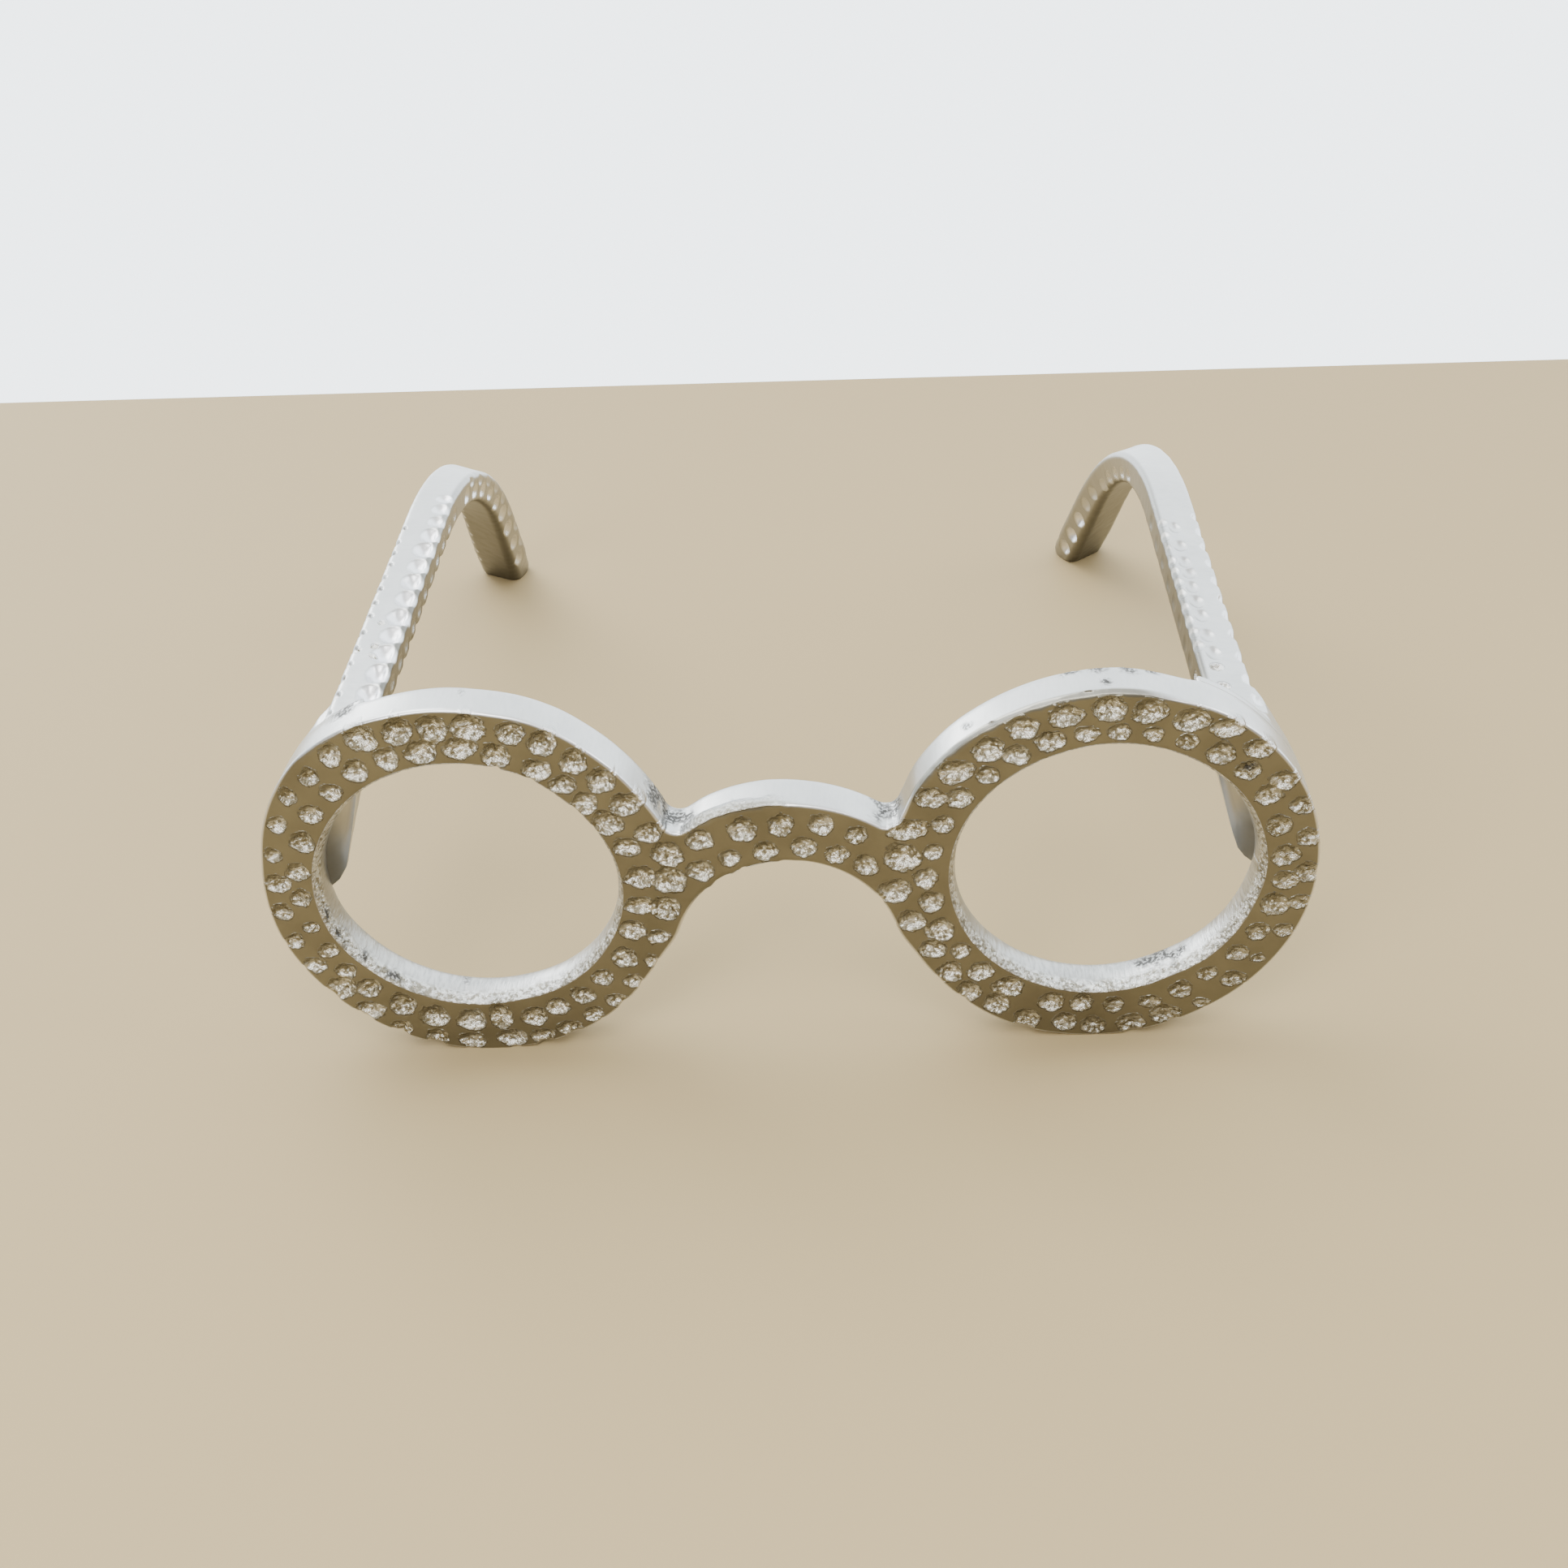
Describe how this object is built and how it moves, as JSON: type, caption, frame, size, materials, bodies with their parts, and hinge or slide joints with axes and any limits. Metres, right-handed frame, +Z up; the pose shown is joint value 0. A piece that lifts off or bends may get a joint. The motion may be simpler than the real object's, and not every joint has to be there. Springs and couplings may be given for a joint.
{
  "type": "eyeglasses sculpture",
  "caption": "Cast metal sculpture of round spectacles, pitted on the front and arms, standing open on its rims and temple hooks.",
  "frame": {"origin": "on the table, under the middle of the piece", "axes": "+X runs to the right of someone who faces the rims, +Y from the rims back to the hook tips, +Z up"},
  "size_m": [0.2, 0.205, 0.0804],
  "materials": {
    "cast_metal": "polished nickel-plated casting",
    "stud_steel": "plain steel thread",
    "dowel_steel": "ground steel"
  },
  "bodies": {
    "root": {"front_frame": "cast_metal", "left_temple": "cast_metal", "right_temple": "cast_metal", "left_stud": "stud_steel", "right_stud": "stud_steel", "left_dowel": "dowel_steel", "right_dowel": "dowel_steel"}
  },
  "joints": []
}
